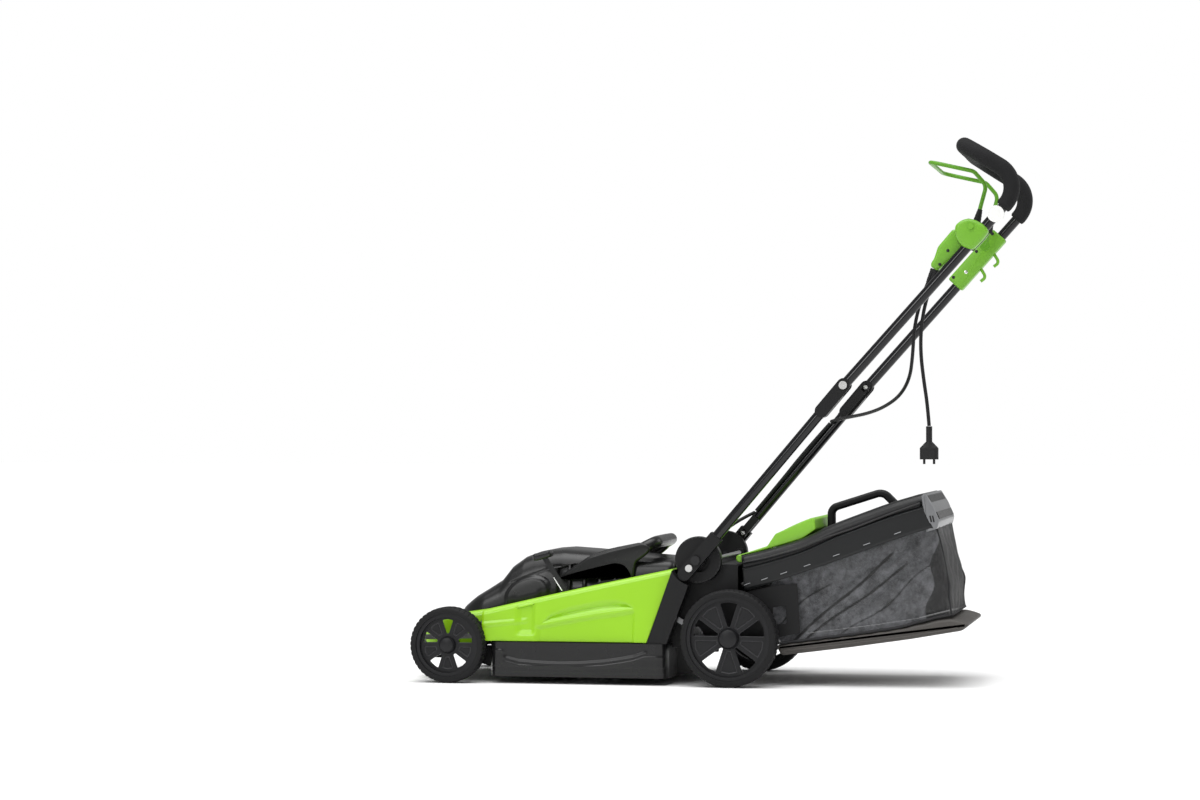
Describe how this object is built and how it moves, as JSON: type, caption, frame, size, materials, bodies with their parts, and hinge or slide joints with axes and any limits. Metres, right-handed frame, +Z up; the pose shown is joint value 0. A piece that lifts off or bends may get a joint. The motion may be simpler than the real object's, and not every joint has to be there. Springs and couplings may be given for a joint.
{
  "type": "rotary lawn mower",
  "caption": "Corded rotary lawn mower with spoked wheels, a folding two-part tube handle with a switch bail, a height lever, a rear flap and a mesh grass catcher.",
  "frame": {"origin": "Centre of the mower's footprint, on the ground under the wheels, measured without the leads.", "axes": "+X to the rear, where the operator stands; +Y to the mower's right; +Z up."},
  "size_m": [1.2082, 0.456, 1.0664],
  "materials": {
    "green_plastic": "smooth glossy moulding",
    "flap_green": "satin moulding",
    "control_green": "satin moulding",
    "bail_green": "powder-coated wire",
    "black_plastic": "fine spark texture",
    "gloss_black": "polished moulding",
    "grey_plastic": "plain moulding",
    "white_plastic": "plain moulding",
    "wheel_plastic": "satin moulding",
    "taupe_plastic": "satin moulding",
    "tyre": "moulded tread",
    "tube_paint": "gloss powder coat on steel tube",
    "steel": "plain steel",
    "core_steel": "varnished core",
    "dark_metal": "painted pressed steel",
    "aluminium": "cast and machined",
    "bright_bolts": "zinc plated",
    "foam": "fine closed-cell foam",
    "mesh_fabric": "woven mesh",
    "cord_rubber": "smooth rubber sheath",
    "plug_rubber": "moulded rubber"
  },
  "bodies": {
    "chassis": {"deck_housing": "black_plastic", "deck_band": "black_plastic", "nose_pan": "black_plastic", "side_pillars": "black_plastic", "lever_post": "black_plastic", "body_shell": "green_plastic", "motor_cover": "black_plastic", "carry_handle": "black_plastic", "motor_case": "dark_metal", "motor_stator": "core_steel", "axle_clamps": "black_plastic", "handle_drums": "black_plastic", "pivot_bolts": "bright_bolts", "flap_rod": "steel", "cable_lead": "cord_rubber"},
    "rotor": {"motor_rotor": "steel", "cooling_fan": "grey_plastic", "blade_holder": "aluminium", "blade": "steel", "blade_bolt": "bright_bolts"},
    "front_crank": {"front_axle": "steel"},
    "rear_crank": {"rear_axle": "steel"},
    "link": {"link_bar": "steel"},
    "lever": {"height_lever": "steel", "lever_knob": "black_plastic"},
    "wheel_front_left": {"front_wheel_left": "wheel_plastic", "front_tyre_left": "tyre"},
    "wheel_front_right": {"front_wheel_right": "wheel_plastic", "front_tyre_right": "tyre"},
    "wheel_rear_left": {"rear_wheel_left": "wheel_plastic", "rear_tyre_left": "tyre"},
    "wheel_rear_right": {"rear_wheel_right": "wheel_plastic", "rear_tyre_right": "tyre"},
    "lower_handle": {"handle_feet": "black_plastic", "clamp_studs": "bright_bolts", "lower_tubes": "tube_paint", "mid_sleeves": "black_plastic", "fold_bolts": "bright_bolts", "cable_run": "cord_rubber"},
    "mid_cam_left": {"mid_lever_left": "black_plastic"},
    "mid_cam_right": {"mid_lever_right": "black_plastic"},
    "low_cam_left": {"lower_lever_left": "black_plastic"},
    "low_cam_right": {"lower_lever_right": "black_plastic"},
    "upper_handle": {"upper_tube": "tube_paint", "foam_grip": "foam", "grip_cap": "white_plastic", "switch_box": "control_green", "cord_block": "control_green", "supply_cord": "cord_rubber", "supply_plug": "plug_rubber", "cable_loop": "cord_rubber"},
    "button": {"lock_button": "black_plastic"},
    "bail_bar": {"bail": "bail_green"},
    "flap": {"rear_flap": "flap_green"},
    "catcher": {"catcher_lid": "gloss_black", "catcher_handle": "black_plastic", "catcher_bag": "mesh_fabric", "catcher_tray": "taupe_plastic", "catcher_frame": "black_plastic"}
  },
  "joints": [
    {"name": "blade_spin", "type": "hinge", "parent": "chassis", "child": "rotor", "pos_m": [-0.244, 0, 0.024], "axis": [0, 0, 1], "continuous": true},
    {"name": "height_adjust", "type": "hinge", "parent": "chassis", "child": "front_crank", "pos_m": [-0.5704, 0, 0.0496], "axis": [0, 1, 0], "range_deg": [0, 50]},
    {"name": "rear_crank_turn", "type": "hinge", "parent": "chassis", "child": "rear_crank", "pos_m": [-0.0084, 0, 0.0696], "axis": [0, 1, 0], "range_deg": [0, 50]},
    {"name": "lever_swing", "type": "hinge", "parent": "chassis", "child": "lever", "pos_m": [-0.26, -0.15, 0.131], "axis": [0, 1, 0], "range_deg": [0, 50]},
    {"name": "link_turn", "type": "hinge", "parent": "front_crank", "child": "link", "pos_m": [-0.5873, -0.164, 0.08585], "axis": [0, 1, 0], "range_deg": [-50, 0]},
    {"name": "front_left_roll", "type": "hinge", "parent": "front_crank", "child": "wheel_front_left", "pos_m": [-0.516, -0.2055, 0.075], "axis": [0, 1, 0], "continuous": true},
    {"name": "front_right_roll", "type": "hinge", "parent": "front_crank", "child": "wheel_front_right", "pos_m": [-0.516, 0.2055, 0.075], "axis": [0, 1, 0], "continuous": true},
    {"name": "rear_left_roll", "type": "hinge", "parent": "rear_crank", "child": "wheel_rear_left", "pos_m": [0.046, -0.2055, 0.095], "axis": [0, 1, 0], "continuous": true},
    {"name": "rear_right_roll", "type": "hinge", "parent": "rear_crank", "child": "wheel_rear_right", "pos_m": [0.046, 0.2055, 0.095], "axis": [0, 1, 0], "continuous": true},
    {"name": "handle_fold_lower", "type": "hinge", "parent": "chassis", "child": "lower_handle", "pos_m": [-0.022, 0, 0.245], "axis": [0, 1, 0], "range_deg": [-130, 0], "deforming": ["cable_lead"]},
    {"name": "handle_fold_upper", "type": "hinge", "parent": "lower_handle", "child": "upper_handle", "pos_m": [0.26711, 0, 0.58591], "axis": [0, 1, 0], "range_deg": [0, 60], "deforming": ["cable_loop"]},
    {"name": "mid_cam_left_flip", "type": "hinge", "parent": "lower_handle", "child": "mid_cam_left", "pos_m": [0.26711, -0.1655, 0.58591], "axis": [0.7627, 0, -0.6468], "range_deg": [0, 110]},
    {"name": "mid_cam_right_flip", "type": "hinge", "parent": "lower_handle", "child": "mid_cam_right", "pos_m": [0.26711, 0.1655, 0.58591], "axis": [-0.7627, 0, 0.6468], "range_deg": [0, 110]},
    {"name": "low_cam_left_flip", "type": "hinge", "parent": "lower_handle", "child": "low_cam_left", "pos_m": [0.01293, -0.1675, 0.28618], "axis": [-0.7627, 0, 0.6468], "range_deg": [0, 100]},
    {"name": "low_cam_right_flip", "type": "hinge", "parent": "lower_handle", "child": "low_cam_right", "pos_m": [0.01293, 0.1675, 0.28618], "axis": [0.7627, 0, -0.6468], "range_deg": [0, 100]},
    {"name": "bail_pull", "type": "hinge", "parent": "upper_handle", "child": "bail_bar", "pos_m": [0.51227, 0, 0.87112], "axis": [0, 1, 0], "range_deg": [0, 16], "stiffness_Nm_per_rad": 1.2, "springref_deg": -20.05},
    {"name": "button_press", "type": "slide", "parent": "upper_handle", "child": "button", "axis": [0, 1, 0], "range_m": [0, 0.003], "stiffness_N_per_m": 250, "springref_m": -0.003},
    {"name": "flap_lift", "type": "hinge", "parent": "chassis", "child": "flap", "pos_m": [0.01, 0, 0.247], "axis": [0, 1, 0], "range_deg": [-62, 0]},
    {"name": "catcher_lift_off", "type": "slide", "parent": "chassis", "child": "catcher", "axis": [1, 0, 0], "range_m": [0, 0.4]}
  ],
  "couplings": [
    {"joint": "rear_crank_turn", "follows": "height_adjust", "ratio": 1},
    {"joint": "lever_swing", "follows": "height_adjust", "ratio": 1},
    {"joint": "link_turn", "follows": "height_adjust", "ratio": -1}
  ]
}
